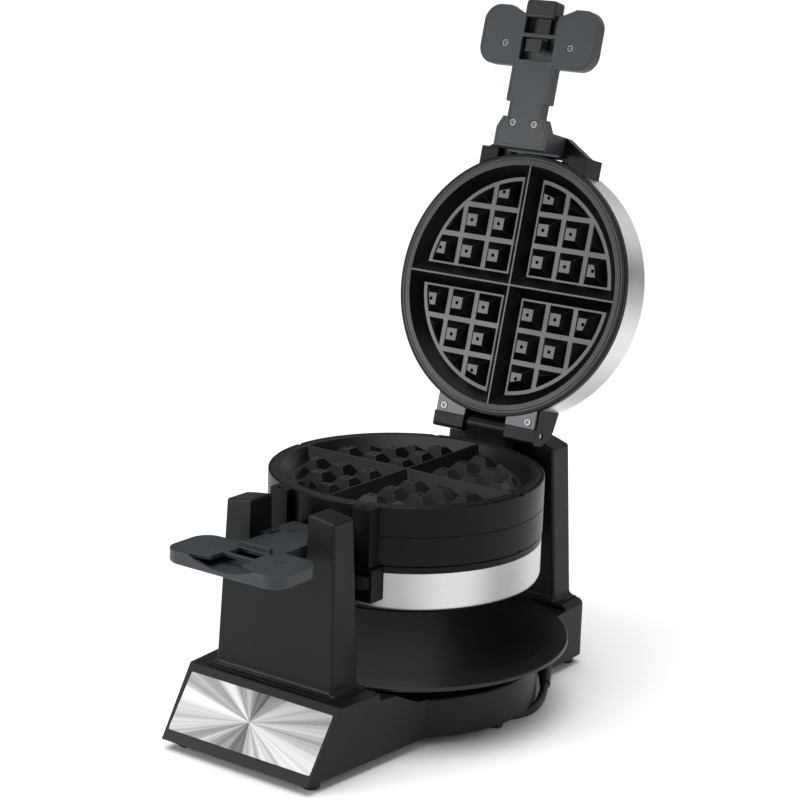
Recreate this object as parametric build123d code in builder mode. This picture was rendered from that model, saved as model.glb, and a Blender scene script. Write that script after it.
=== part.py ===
"""Rotating waffle maker with two chambers, drawn in millimetres.

Everything is drawn about the head's centre: +Z is up, the front plate faces -Y and the flip
axis runs along Y. The stored frame is the same one, moved along Y so that its origin lies on
the floor under the middle of the object's box.

The two lids are one design. Each lid piece is drawn closed on top of the middle section, then
turned about the hinge for the open upper lid, or about the flip axis for the lower lid.
"""
import os
from math import cos, radians, sin, sqrt, tan

from build123d import *

# ---------------------------------------------------------------- driving dimensions
ORIGIN_SHIFT_Y = 13.3       # from the head's centre to the middle of the object's box

FOOT_HEIGHT = 7.5
DECK_Z = 37.5               # top of the round drum
SHOULDER_Z = 56.5           # top of the front wedge
REAR_BLOCK_Z = 55.0
RAMP_TOP_Z = 50.9           # where the ramps under the tray start
FLIP_Z = 160.5              # height of the flip axis
MIDDLE_HEIGHT = 44.0        # middle section of the head
RIM_Z = FLIP_Z + MIDDLE_HEIGHT / 2
LID_GAP = 0.3               # between a closed lid and the middle section
LID_Z = RIM_Z + LID_GAP     # mating plane of a closed lid
LID_HEIGHT = 36.0
BAND_HEIGHT = 5.0           # black band between the mating plane and the steel cover

HEAD_R = 105.0
LID_R = 104.5
PLATE_R = 102.0
CAVITY_R = 95.5
DRUM_R = 106.0
TRAY_R = 128.5
TRAY_FLAT_Y = 124.0         # half width of the tray between the towers

HINGE_Y = 113.0
HINGE_RISE = 11.2           # hinge axis above the rim
HINGE_Z = RIM_Z + HINGE_RISE
OPEN_ANGLE = 104.5
KNUCKLE_R = 8.0
PIN_R = 2.5
HINGE_SCREW_Y = 103.6
RUNNING = 0.05              # radial clearance of a shaft or pin in its bore

WALL = 3.0                  # moulded walls of the base and towers

# front wedge and its sloping face
FRONT_Y = -199.5
FRONT_SLOPE = 34.6          # degrees from upright
FRONT_HALF = 67.5           # half width at the front
JOIN_HALF = 77.5            # half width where the wedge meets the drum
JOIN_Y = -71.0
PANEL_SIZE = (131.0, 45.0)

# rear block
REAR_HALF = 71.5
REAR_Y = 156.0
REAR_FRONT_Y = 78.0
REAR_ROUND = 5.0            # rounding of its top edges

FEET = [
    (-58, -183, 6.3),
    (58, -183, 6.3),
    (-95, -6, 5.0),
    (95, -6, 5.0),
    (-62, 146, 5.0),
    (62, 146, 5.0),
]
SCREW_SPOTS = [(-40, -170), (40, -170), (-80, -40), (80, -40), (-50, 135), (50, 135)]

SOLE_FLARE = 5.5            # how far the foot of each tower spreads

# front fork tower
FORK_FOOT = (54.0, -156.0, -126.0)      # half width, front y and rear y at the shoulder
FORK_TOP = (49.0, -152.2, -129.0)       # the same at the posts' tops
FORK_HEIGHT = 187.2
FORK_GAP = 26.3                         # half the gap between the posts

# rear tower
TOWER_FOOT = (58.5, 127.0, 152.0)
TOWER_TOP = (49.5, 127.0, 152.0)
TOWER_HEIGHT = 190.0
TOWER_ARCH_R = 135.0

# flip shaft and its bush
SHAFT_R = 11.0
SHAFT_BORE_R = 7.0
BUSH_R = 15.0
SHAFT_END_Y = 142.0

# handle
HANDLE_HALF = 53.0
HANDLE_FRONT_Y = -217.0
HANDLE_BACK_Y = -170.0
NECK_HALF = 19.5
JOURNAL_HALF = 15.7                     # the neck is notched where the fork carries it
JOURNAL_Y = (-142.0, -130.0)
FLARE_HALF = 24.0
FLARE_Y = -121.0
NECK_END_Y = -106.2
SHELL_DEPTH = 10.0
PARTING = 0.15                          # half the gap between the two handle halves
INNER_INSET = 2.0
INNER_THICKNESS = 3.0

# latch
HOOK_BACK_Y = -184.0

# waffle pattern
CAVITY_DEPTH = 9.0
PLATE_THICKNESS = 12.0
FLOOR_R = 87.0
RIB_TOP_HALF = 0.7
RIB_FOOT_HALF = 8.6
BOSS_PITCH = 25.6
BOSS_FIRST = 21.0
BOSS_BASE = 21.4
BOSS_TOP = 9.6
BOSS_HEIGHT = 7.7

# tray
TRAY_RIM_Z = 54.5
TRAY_THICKNESS = 1.6
TRAY_FLOOR_R = 99.0
TRAY_BAND_R = 110.0

CORD_R = 3.25

# ---------------------------------------------------------------- placements
TO_ORIGIN = Pos(0, ORIGIN_SHIFT_Y, 0)
AT_HINGE = Pos(0, HINGE_Y, HINGE_Z)
OPEN_LID = AT_HINGE * Rot(-OPEN_ANGLE, 0, 0) * AT_HINGE.inverse()
LOWER_LID = Pos(0, 0, FLIP_Z) * Rot(0, 180, 0) * Pos(0, 0, -FLIP_Z)

os.makedirs("parts", exist_ok=True)


def save(part, name, place=Location()):
    """Label a piece, put it in the stored frame and write its STEP file."""
    piece = TO_ORIGIN * place * part
    piece.label = name
    export_step(piece, f"parts/{name}.step")


def save_lid_piece(part, name):
    """Write one lid piece twice: in the open upper lid and in the lower lid."""
    save(part, f"upper_{name}", OPEN_LID)
    save(part, f"lower_{name}", LOWER_LID)


def box_between(low, high, mode=Mode.ADD):
    """A box in the running part, given by its two extreme corners."""
    size = [b - a for a, b in zip(low, high)]
    middle = [(a + b) / 2 for a, b in zip(low, high)]
    with Locations(tuple(middle)):
        Box(*size, mode=mode)


def section_at(foot, top, foot_z, top_z, z):
    """Half width, front y and rear y of a tapered tower at height z."""
    share = (z - foot_z) / (top_z - foot_z)
    return [a + (b - a) * share for a, b in zip(foot, top)]


def tower_rectangle(section, inset=0.0):
    """The tower's outline at one height, drawn in the running sketch."""
    half, front, rear = section
    with Locations((0, (front + rear) / 2)):
        Rectangle(2 * (half - inset), rear - front - 2 * inset)


# ---------------------------------------------------------------- base
def wedge_outline(inset):
    """Plan of the front wedge, from its front edge back into the drum."""
    front = FRONT_Y + inset
    Polygon(
        (-(FRONT_HALF - inset), front),
        (FRONT_HALF - inset, front),
        (JOIN_HALF - inset, JOIN_Y),
        (-(JOIN_HALF - inset), JOIN_Y),
        align=None,
    )


def rear_outline(inset):
    """Plan of the rear block, with rounded rear corners."""
    rear = REAR_Y - inset
    with Locations((0, (REAR_FRONT_Y + rear) / 2)):
        block = Rectangle(2 * (REAR_HALF - inset), rear - REAR_FRONT_Y)
    fillet(block.vertices().sort_by(Axis.Y)[-2:], 8.0 - inset / 2)


def tray_way(inset):
    """Side view of the space that the tray slides through, from the front ramp to the rear one."""
    front_half = [
        (-(TRAY_FLAT_Y + 1.2 + inset), SHOULDER_Z + 10),
        (-(TRAY_FLAT_Y + 1.2 + inset), RAMP_TOP_Z - inset),
        (-108.0 - 0.4 * inset, RAMP_TOP_Z - 0.9 - inset),
        (-92.0 - 0.4 * inset, DECK_Z + 4.8 - inset),
        (-81.0 - 0.4 * inset, DECK_Z - inset),
    ]
    rear_half = [(-y, z) for y, z in reversed(front_half)]
    return front_half + rear_half


def base_block(inset, bottom):
    """The base as a solid block, shrunk by inset on every outer side."""
    lean = tan(radians(FRONT_SLOPE))
    shrink = inset / cos(radians(FRONT_SLOPE))
    with BuildPart() as block:
        with BuildSketch(Plane.XY.offset(bottom)):
            Circle(DRUM_R - inset)
            wedge_outline(inset)
            rear_outline(inset)
        extrude(amount=DECK_Z - inset - bottom)
        with BuildSketch(Plane.XY.offset(DECK_Z - inset)):
            wedge_outline(inset)
        extrude(amount=SHOULDER_Z - DECK_Z)
        with BuildSketch(Plane.XY.offset(DECK_Z - inset)):
            rear_outline(inset)
        extrude(amount=REAR_BLOCK_Z - DECK_Z)
        # the tray's way out to the sides, with a ramp down to the deck at each end
        with BuildSketch(Plane.YZ.offset(-DRUM_R)):
            Polygon(*tray_way(inset), align=None)
        extrude(amount=2 * DRUM_R, mode=Mode.SUBTRACT)
        # the front is cut back along the slope of the steel plate
        with BuildSketch(Plane.YZ.offset(-JOIN_HALF)):
            with BuildLine():
                Polyline(
                    (FRONT_Y - 50, 0),
                    (FRONT_Y + shrink, 0),
                    (FRONT_Y + shrink, FOOT_HEIGHT),
                    (FRONT_Y + shrink + (SHOULDER_Z + 10 - FOOT_HEIGHT) * lean, SHOULDER_Z + 10),
                    (FRONT_Y - 50, SHOULDER_Z + 10),
                    close=True,
                )
            make_face()
        extrude(amount=2 * JOIN_HALF, mode=Mode.SUBTRACT)
    return block.part


def panel_plane(depth):
    """Plane of the sloping front, centred on the steel plate, depth below the surface."""
    centre_z = 32.8
    lean = radians(FRONT_SLOPE)
    y = FRONT_Y + (centre_z - FOOT_HEIGHT) * tan(lean)
    normal = Vector(0, -cos(lean), sin(lean))
    return Plane(origin=Vector(0, y, centre_z) - normal * depth, x_dir=(1, 0, 0), z_dir=normal)


def make_base():
    outer = base_block(0.0, FOOT_HEIGHT)
    inner = base_block(WALL, FOOT_HEIGHT)
    with BuildPart() as base_shell:
        add(outer)
        rear_top = base_shell.faces().filter_by(Axis.Z).filter_by(
            lambda face: face.center().Y > REAR_FRONT_Y and face.center().Z > REAR_BLOCK_Z - 1
        )
        fillet(rear_top.edges().filter_by(lambda edge: edge.center().Y > TOWER_FOOT[1]), REAR_ROUND)
        drum_rims = base_shell.edges().filter_by(GeomType.CIRCLE).filter_by(
            lambda edge: abs(edge.radius - DRUM_R) < 0.1 and abs(edge.center().Z - DECK_Z) < 0.1
        )
        fillet(drum_rims, 2.0)
        add(inner, mode=Mode.SUBTRACT)
        # seat of the steel plate
        with BuildSketch(panel_plane(0.9)):
            RectangleRounded(PANEL_SIZE[0] + 0.4, PANEL_SIZE[1] + 0.4, 1.7)
        extrude(amount=3.0, mode=Mode.SUBTRACT)
        # passage for the harness into the rear tower
        box_between((-12, 132, REAR_BLOCK_Z - 5), (12, 149, REAR_BLOCK_Z + 1), Mode.SUBTRACT)
    save(base_shell.part, "base_shell")

    with BuildPart() as front_panel:
        with BuildSketch(panel_plane(0.85)):
            RectangleRounded(*PANEL_SIZE, 1.5)
        extrude(amount=0.8)
    save(front_panel.part, "front_panel")

    with BuildPart() as bottom_cover:
        with BuildSketch(Plane.XY.offset(FOOT_HEIGHT + 0.5)):
            Circle(DRUM_R - WALL - 0.4)
            wedge_outline(WALL + 0.5)
            rear_outline(WALL + 0.4)
            with Locations((0, FRONT_Y)):
                Rectangle(2 * JOIN_HALF, 12.6, mode=Mode.SUBTRACT)
            with PolarLocations(60, 18):
                SlotOverall(26, 3, mode=Mode.SUBTRACT)
            with Locations(*SCREW_SPOTS):
                Circle(1.6, mode=Mode.SUBTRACT)
        extrude(amount=2.4)
    save(bottom_cover.part, "bottom_cover")

    with BuildPart() as rubber_feet:
        for x, y, radius in FEET:
            with BuildSketch(Plane.XY):
                with Locations((x, y)):
                    Circle(radius)
            extrude(amount=FOOT_HEIGHT + 0.4)
        chamfer(rubber_feet.faces().sort_by(Axis.Z)[: len(FEET)].edges(), 0.9)
    save(rubber_feet.part, "rubber_feet")


def flared_sole(section, z, flare):
    """A thin sole under a tower, which the foot fillet runs out to."""
    half, front, rear = section
    with BuildPart() as sole:
        with BuildSketch(Plane.XY.offset(z)):
            with Locations((0, (front + rear) / 2)):
                RectangleRounded(2 * (half + flare), rear - front + 2 * flare, flare)
        extrude(amount=0.8)
    return sole.part


def tower_body(foot, top, foot_z, top_z, low_z, high_z, inset):
    """A straight tapered tower between two heights."""
    with BuildPart() as body:
        for z in (low_z, high_z):
            with BuildSketch(Plane.XY.offset(z)):
                tower_rectangle(section_at(foot, top, foot_z, top_z, z), inset)
        loft(ruled=True)
    return body.part


def make_fork():
    """Front tower: two posts, with the neck's saddle low in the gap between them."""
    low = SHOULDER_Z
    with BuildPart() as front_fork:
        add(tower_body(FORK_FOOT, FORK_TOP, low, FORK_HEIGHT, low, FORK_HEIGHT, 0))
        fillet(front_fork.edges().filter_by(Axis.Y, reverse=True).filter_by(Axis.X, reverse=True), 2.5)
        # the tops fall away from the middle
        with BuildSketch(Plane.XZ.offset(-FORK_TOP[1] + 20)):
            with BuildLine():
                crown = ThreePointArc(
                    (-60, FORK_HEIGHT - 6.8), (0, FORK_HEIGHT), (60, FORK_HEIGHT - 6.8)
                )
                Polyline(crown @ 1, (60, FORK_HEIGHT + 20), (-60, FORK_HEIGHT + 20), crown @ 0)
            make_face()
        extrude(amount=-80, mode=Mode.SUBTRACT)
        # the gap
        with BuildSketch(Plane.XZ.offset(-FORK_TOP[1] + 20)):
            with Locations((0, FLIP_Z)):
                Circle(FORK_GAP)
            with Locations((0, FLIP_Z + 20)):
                Rectangle(2 * FORK_GAP, 40)
        extrude(amount=-80, mode=Mode.SUBTRACT)
        post_tops = front_fork.faces().sort_by(Axis.Z)[-2:]
        fillet(post_tops.edges(), 1.6)
        add(flared_sole(FORK_FOOT, low, SOLE_FLARE))
        foot_edges = front_fork.edges().filter_by(
            lambda edge: abs(edge.center().Z - low - 0.8) < 0.1
            and abs(edge.center().X) < FORK_FOOT[0] + 1
            and FORK_FOOT[1] - 1 < edge.center().Y < FORK_FOOT[2] + 1
        )
        fillet(foot_edges, SOLE_FLARE - 1)
        # the sole ends at the edge of the tray's space
        box_between((-80, -TRAY_FLAT_Y - 1.4, low - 1), (80, -100, low + 6), Mode.SUBTRACT)
        # hollow under the gap and up each post
        add(tower_body(FORK_FOOT, FORK_TOP, low, FORK_HEIGHT, low, FLIP_Z - 30, WALL),
            mode=Mode.SUBTRACT)
        for side in (-1, 1):
            inner = side * (FORK_GAP + WALL)
            outer = side * (FORK_TOP[0] - WALL)
            box_between(
                (min(inner, outer), FORK_TOP[1] + WALL, FLIP_Z - 31),
                (max(inner, outer), FORK_TOP[2] - WALL, FORK_HEIGHT - 8),
                Mode.SUBTRACT,
            )
    save(front_fork.part, "front_fork")

    # half-round saddle that the notched neck turns in
    with BuildPart() as neck_saddle:
        with BuildSketch(Plane.XZ.offset(-JOURNAL_Y[0] - 0.6)):
            with Locations((0, FLIP_Z)):
                Circle(FORK_GAP - 0.1)
                Circle(19.4, mode=Mode.SUBTRACT)
            with Locations((0, FLIP_Z + 20)):
                Rectangle(60, 41, mode=Mode.SUBTRACT)
        extrude(amount=-(JOURNAL_Y[1] - JOURNAL_Y[0] - 1.2))
    save(neck_saddle.part, "neck_saddle")


def tower_arch(inset):
    """Everything under the rear tower's arched top, as a wide slab."""
    top = TOWER_HEIGHT - inset
    with BuildPart() as slab:
        with BuildSketch(Plane.XZ.offset(-REAR_Y - 10)):
            with Locations((0, top - TOWER_ARCH_R)):
                Circle(TOWER_ARCH_R)
            with Locations((0, top - TOWER_ARCH_R / 2)):
                Rectangle(2 * TOWER_ARCH_R, TOWER_ARCH_R, mode=Mode.INTERSECT)
        extrude(amount=60)
    return slab.part


def make_rear_tower():
    """Rear tower and cap, parted level with the flip axis that they hold between them."""
    low = REAR_BLOCK_Z
    bush_y = TOWER_FOOT[1]
    whole = tower_body(TOWER_FOOT, TOWER_TOP, low, TOWER_HEIGHT, low, TOWER_HEIGHT, 0)
    hollow = tower_body(TOWER_FOOT, TOWER_TOP, low, TOWER_HEIGHT, low, TOWER_HEIGHT, WALL)
    with BuildPart() as bearing_seat:
        with BuildSketch(Plane.XZ.offset(-bush_y)):
            with Locations((0, FLIP_Z)):
                Circle(BUSH_R + 4)
        extrude(amount=-(SHAFT_END_Y - bush_y - 1))
    with BuildPart() as bearing_bore:
        with BuildSketch(Plane.XZ.offset(-bush_y + 5)):
            with Locations((0, FLIP_Z)):
                Circle(BUSH_R + 0.02)
        extrude(amount=-(SHAFT_END_Y - bush_y + 6))

    with BuildPart() as rear_tower:
        add(whole)
        upright = rear_tower.edges().filter_by(Axis.Y, reverse=True).filter_by(Axis.X, reverse=True)
        fillet(upright, 2.5)
        split(bisect_by=Plane.XY.offset(FLIP_Z), keep=Keep.BOTTOM)
        add(flared_sole(TOWER_FOOT, low, SOLE_FLARE))
        foot_edges = rear_tower.edges().filter_by(
            lambda edge: abs(edge.center().Z - low - 0.8) < 0.1
            and abs(edge.center().X) < TOWER_FOOT[0] + 1
            and TOWER_FOOT[1] - 1 < edge.center().Y < TOWER_FOOT[2] + 1
        )
        fillet(foot_edges, SOLE_FLARE - 1)
        # the sole's back stays on the rear block, and its front clear of the tray
        box_between((-80, REAR_Y - REAR_ROUND, low - 1), (80, REAR_Y + 20, low), Mode.SUBTRACT)
        box_between((-80, TOWER_FOOT[2], low - 1), (80, REAR_Y + 20, low + 6), Mode.SUBTRACT)
        box_between((-80, 100, low - 1), (80, TRAY_FLAT_Y + 1.4, low + 6), Mode.SUBTRACT)
        add(hollow, mode=Mode.SUBTRACT)
        add(split(bearing_seat.part, bisect_by=Plane.XY.offset(FLIP_Z), keep=Keep.BOTTOM,
                  mode=Mode.PRIVATE))
        add(bearing_bore.part, mode=Mode.SUBTRACT)
    save(rear_tower.part, "rear_tower")

    with BuildPart() as tower_cap:
        add(whole)
        upright = tower_cap.edges().filter_by(Axis.Y, reverse=True).filter_by(Axis.X, reverse=True)
        fillet(upright, 2.5)
        split(bisect_by=Plane.XY.offset(FLIP_Z + 0.1), keep=Keep.TOP)
        add(tower_arch(0), mode=Mode.INTERSECT)
        crown = tower_cap.faces().sort_by(Axis.Z)[-1]
        fillet(crown.edges(), 2.0)
        add(tower_arch(WALL) & hollow, mode=Mode.SUBTRACT)
        add(split(bearing_seat.part, bisect_by=Plane.XY.offset(FLIP_Z + 0.1), keep=Keep.TOP,
                  mode=Mode.PRIVATE))
        add(bearing_bore.part, mode=Mode.SUBTRACT)
    save(tower_cap.part, "tower_cap")


def make_flip_shaft():
    """Hollow shaft, its bush in the rear tower, and the ring that keeps it there."""
    bush_y = TOWER_FOOT[1]
    with BuildPart() as shaft_bush:
        with BuildSketch(Plane.XZ.offset(-bush_y + 0.6)):
            with Locations((0, FLIP_Z)):
                Circle(BUSH_R)
        extrude(amount=-(SHAFT_END_Y - bush_y - 0.6))
        with BuildSketch(Plane.XZ.offset(-bush_y + 0.1)):
            with Locations((0, FLIP_Z)):
                Circle(BUSH_R + 3)
        extrude(amount=1.8)
        with BuildSketch(Plane.XZ.offset(-bush_y + 5)):
            with Locations((0, FLIP_Z)):
                Circle(SHAFT_R + RUNNING)
        extrude(amount=-40, mode=Mode.SUBTRACT)
    save(shaft_bush.part, "shaft_bush")

    with BuildPart() as flip_shaft:
        with BuildSketch(Plane.XZ.offset(-PLATE_R - 0.8)):
            with Locations((0, FLIP_Z)):
                Circle(SHAFT_R)
                Circle(SHAFT_BORE_R, mode=Mode.SUBTRACT)
        extrude(amount=-(SHAFT_END_Y + 2.4 - PLATE_R - 0.8))
        # groove of the retaining ring
        with BuildSketch(Plane.XZ.offset(-SHAFT_END_Y - 0.3)):
            with Locations((0, FLIP_Z)):
                Circle(SHAFT_R + 1)
                Circle(SHAFT_R - 1, mode=Mode.SUBTRACT)
        extrude(amount=-1.2, mode=Mode.SUBTRACT)
    save(flip_shaft.part, "flip_shaft")

    with BuildPart() as shaft_ring:
        with BuildSketch(Plane.XZ.offset(-SHAFT_END_Y - 0.4)):
            with Locations((0, FLIP_Z)):
                Circle(SHAFT_R + 2.5)
                Circle(SHAFT_R - 0.9, mode=Mode.SUBTRACT)
            with Locations((0, FLIP_Z - SHAFT_R)):
                Rectangle(7, 8, mode=Mode.SUBTRACT)
        extrude(amount=-1.0)
    save(shaft_ring.part, "shaft_ring")


# ---------------------------------------------------------------- tray
def make_tray():
    """Round tray, dished so that the turning head clears it, on a ring that rests on the deck."""
    under_z = DECK_Z + 0.3
    floor_z = under_z + TRAY_THICKNESS
    edge_z = TRAY_RIM_Z - 4.8           # the dish's rim, at the foot of the sloping band
    band_z = TRAY_RIM_Z - 0.9
    rising = (cos(radians(12)), sin(radians(12)))
    skirt_r = 80.0
    with BuildPart() as drip_tray:
        with BuildSketch(Plane.XZ):
            with BuildLine():
                Spline((0, floor_z), (TRAY_FLOOR_R, edge_z), tangents=((1, 0), rising))
                Polyline(
                    (TRAY_FLOOR_R, edge_z),
                    (TRAY_BAND_R, band_z),
                    (TRAY_R - 0.5, TRAY_RIM_Z),
                    (TRAY_R, TRAY_RIM_Z - 0.4),
                    (TRAY_R, TRAY_RIM_Z - 2.6),
                    (TRAY_R - 1.4, TRAY_RIM_Z - 2.6),
                    (TRAY_R - 1.6, TRAY_RIM_Z - TRAY_THICKNESS),
                    (TRAY_BAND_R, band_z - TRAY_THICKNESS),
                    (TRAY_FLOOR_R, edge_z - TRAY_THICKNESS),
                )
                Spline(
                    (0, under_z),
                    (TRAY_FLOOR_R, edge_z - TRAY_THICKNESS),
                    tangents=((1, 0), rising),
                )
                Line((0, under_z), (0, floor_z))
            make_face()
        revolve(axis=Axis.Z)
        with BuildSketch(Plane.XY.offset(under_z)):
            Circle(skirt_r)
            Circle(skirt_r - 1.6, mode=Mode.SUBTRACT)
        extrude(amount=6.6)
        with BuildSketch(Plane.XY):
            Rectangle(3 * TRAY_R, 3 * TRAY_R)
            Rectangle(3 * TRAY_R, 2 * TRAY_FLAT_Y, mode=Mode.SUBTRACT)
        extrude(amount=80, mode=Mode.SUBTRACT)
    save(drip_tray.part, "drip_tray")


# ---------------------------------------------------------------- waffle plates
def boss_field(limit_cone):
    """Nine tapered bosses of one quarter, cut round by the plate's edge."""
    floor_z = -CAVITY_DEPTH
    with BuildPart() as bosses:
        for column in range(3):
            for row in range(3):
                if column + row > 3:
                    continue
                x = BOSS_FIRST + column * BOSS_PITCH
                y = BOSS_FIRST + row * BOSS_PITCH
                for z, side in ((floor_z - 0.5, BOSS_BASE + 0.8), (floor_z + BOSS_HEIGHT, BOSS_TOP)):
                    with BuildSketch(Plane.XY.offset(z)):
                        with Locations((x, y)):
                            Rectangle(side, side)
                loft(ruled=True)
        add(limit_cone, mode=Mode.INTERSECT)
        for column in range(3):
            for row in range(3 - column):
                x = BOSS_FIRST + column * BOSS_PITCH
                y = BOSS_FIRST + row * BOSS_PITCH
                with Locations((x, y, floor_z + BOSS_HEIGHT)):
                    Hole(1.4, depth=2.6)
    return bosses.part


def quarter_pocket():
    """One quarter of the batter cavity: upright in plan, sloping in to the floor."""
    with BuildPart() as pocket:
        for z, radius, edge in (
            (0.0, CAVITY_R, RIB_TOP_HALF),
            (-CAVITY_DEPTH, FLOOR_R, RIB_FOOT_HALF),
        ):
            reach = sqrt(radius**2 - edge**2)
            with BuildSketch(Plane.XY.offset(z)):
                with BuildLine():
                    Line((edge, edge), (reach, edge))
                    RadiusArc((reach, edge), (edge, reach), -radius)
                    Line((edge, reach), (edge, edge))
                make_face()
        loft(ruled=True)
    return pocket.part


def waffle_plate():
    """Cast plate facing +Z, with its rim plane at z = 0."""
    with BuildPart() as cone:
        with BuildSketch(Plane.XZ):
            with BuildLine():
                Polyline(
                    (0, -CAVITY_DEPTH - 0.5),
                    (84.4, -CAVITY_DEPTH - 0.5),
                    (77.0, -CAVITY_DEPTH + BOSS_HEIGHT),
                    (0, -CAVITY_DEPTH + BOSS_HEIGHT),
                    close=True,
                )
            make_face()
        revolve(axis=Axis.Z)
    pocket = quarter_pocket()
    bosses = boss_field(cone.part)
    with BuildPart() as plate:
        with BuildSketch(Plane.XY.offset(-PLATE_THICKNESS)):
            Circle(PLATE_R)
        extrude(amount=PLATE_THICKNESS)
        for turn in range(4):
            add(pocket, rotation=(0, 0, 90 * turn), mode=Mode.SUBTRACT)
        for turn in range(4):
            add(bosses, rotation=(0, 0, 90 * turn))
        # two fine grooves round the rim keep steam in
        with BuildSketch(Plane.XY):
            for radius in (98.0, 100.2):
                Circle(radius + 0.35)
                Circle(radius - 0.35, mode=Mode.SUBTRACT)
        extrude(amount=-0.5, mode=Mode.SUBTRACT)
    return plate.part


def heater_ring(z):
    """Tubular element: most of a circle, with its two ends turned out to the rear."""
    radius = 64.0
    gap = 0.16
    start = (radius * sin(gap), radius * cos(gap))
    with BuildPart() as heater:
        with BuildLine(Plane.XY.offset(z)):
            ThreePointArc(start, (0, -radius), (-start[0], start[1]))
        with BuildSketch(Plane(origin=(0, -radius, z), x_dir=(0, 1, 0), z_dir=(1, 0, 0))):
            Circle(3.3)
        sweep()
        for side in (-1, 1):
            with BuildSketch(Plane(origin=(side * start[0], start[1] - 1, z), z_dir=(0, 1, 0))):
                Circle(2.7)
            extrude(amount=14)
            with BuildSketch(Plane(origin=(side * start[0], start[1] + 12, z), z_dir=(0, 1, 0))):
                Circle(1.4)
            extrude(amount=8)
    return heater.part


# ---------------------------------------------------------------- middle section
def make_middle():
    """Middle ring with its lugs, hinge knuckles and shaft boss, and what it holds."""
    half = MIDDLE_HEIGHT / 2
    hinge_drop = HINGE_Z - FLIP_Z
    with BuildPart() as middle_ring:
        with BuildSketch(Plane.XY.offset(FLIP_Z - half)):
            Circle(HEAD_R)
        extrude(amount=MIDDLE_HEIGHT)
        chamfer(middle_ring.edges(), 0.6)
        # front lugs beside the neck
        for side in (-1, 1):
            box_between(
                (side * 38 - 8, -106.5, FLIP_Z - half), (side * 38 + 8, -88, FLIP_Z + half)
            )
        # rear arm with a knuckle at each end
        box_between((-19, 90, FLIP_Z - half + 0.5), (19, 112, FLIP_Z + half - 0.5))
        with BuildSketch(Plane.YZ.offset(-19)):
            with Locations((HINGE_Y, FLIP_Z)):
                SlotCenterToCenter(2 * hinge_drop, 2 * KNUCKLE_R, rotation=90)
        extrude(amount=38)
        with BuildSketch(Plane.XZ.offset(-100)):
            with Locations((0, FLIP_Z)):
                Circle(17)
        extrude(amount=-23.5)
        # bore, with a ledge between the two plates
        with BuildSketch(Plane.XY.offset(FLIP_Z - half - 1)):
            Circle(PLATE_R + 0.2)
        extrude(amount=PLATE_THICKNESS + 1.1, mode=Mode.SUBTRACT)
        with BuildSketch(Plane.XY.offset(FLIP_Z + half - PLATE_THICKNESS - 0.1)):
            Circle(PLATE_R + 0.2)
        extrude(amount=PLATE_THICKNESS + 1.1, mode=Mode.SUBTRACT)
        with BuildSketch(Plane.XY.offset(FLIP_Z - half)):
            Circle(95)
        extrude(amount=MIDDLE_HEIGHT, mode=Mode.SUBTRACT)
        # bores of the shaft and of both hinge pins
        with BuildSketch(Plane.XZ.offset(-80)):
            with Locations((0, FLIP_Z)):
                Circle(SHAFT_R + RUNNING)
        extrude(amount=-60, mode=Mode.SUBTRACT)
        for rise in (-hinge_drop, hinge_drop):
            with BuildSketch(Plane.YZ.offset(-30)):
                with Locations((HINGE_Y, FLIP_Z + rise)):
                    Circle(PIN_R + RUNNING)
            extrude(amount=60, mode=Mode.SUBTRACT)
        # small keyhole in the top of each front lug
        for side in (-1, 1):
            with BuildSketch(Plane.XY.offset(RIM_Z)):
                with Locations((side * 38, -103.6)):
                    SlotOverall(7, 2.6)
            extrude(amount=-6, mode=Mode.SUBTRACT)
        # notches in both rims, at the sides and beside the rear arm
        for face_z in (FLIP_Z - half, FLIP_Z + half):
            for x, y in ((-HEAD_R, 0), (HEAD_R, 0), (-41, 96.7), (41, 96.7)):
                with Locations((x, y, face_z)):
                    Box(5, 5, 2.4, mode=Mode.SUBTRACT)
        # thin step that marks the middle of the band
        with BuildSketch(Plane.XY.offset(FLIP_Z - 0.3)):
            Circle(HEAD_R + 1)
            Circle(HEAD_R - 0.4, mode=Mode.SUBTRACT)
            with Locations((0, 110)):
                Rectangle(60, 40, mode=Mode.SUBTRACT)
            with Locations((0, -100)):
                Rectangle(92, 40, mode=Mode.SUBTRACT)
        extrude(amount=0.6, mode=Mode.SUBTRACT)
    save(middle_ring.part, "middle_ring")

    plate = waffle_plate()
    save(plate, "middle_upper_plate", Pos(0, 0, RIM_Z))
    save(plate, "middle_lower_plate", Pos(0, 0, FLIP_Z - half) * Rot(0, 180, 0))
    save(heater_ring(FLIP_Z), "middle_heater")

    with BuildPart() as thermostat:
        with BuildSketch(Plane.XY.offset(FLIP_Z + 2)):
            with Locations((-26, 20)):
                Circle(8.5)
        extrude(amount=7.9)
        with BuildSketch(Plane.XY.offset(FLIP_Z - 3)):
            with Locations((-26, 20)):
                Circle(6)
        extrude(amount=5)
        box_between((-38, 19, FLIP_Z), (-14, 21.5, FLIP_Z + 0.8))
    save(thermostat.part, "thermostat")

    with BuildPart() as thermal_fuse:
        with BuildSketch(Plane.YZ.offset(16)):
            with Locations((-22, FLIP_Z + 6)):
                Circle(2.2)
        extrude(amount=14)
        with BuildSketch(Plane.YZ.offset(4)):
            with Locations((-22, FLIP_Z + 6)):
                Circle(0.6)
        extrude(amount=38)
    save(thermal_fuse.part, "thermal_fuse")

    for name, rise in (("upper_hinge_pin", hinge_drop), ("lower_hinge_pin", -hinge_drop)):
        with BuildPart() as hinge_pin:
            with BuildSketch(Plane.YZ.offset(-47)):
                with Locations((HINGE_Y, FLIP_Z + rise)):
                    Circle(PIN_R)
            extrude(amount=94)
        save(hinge_pin.part, name)


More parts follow.
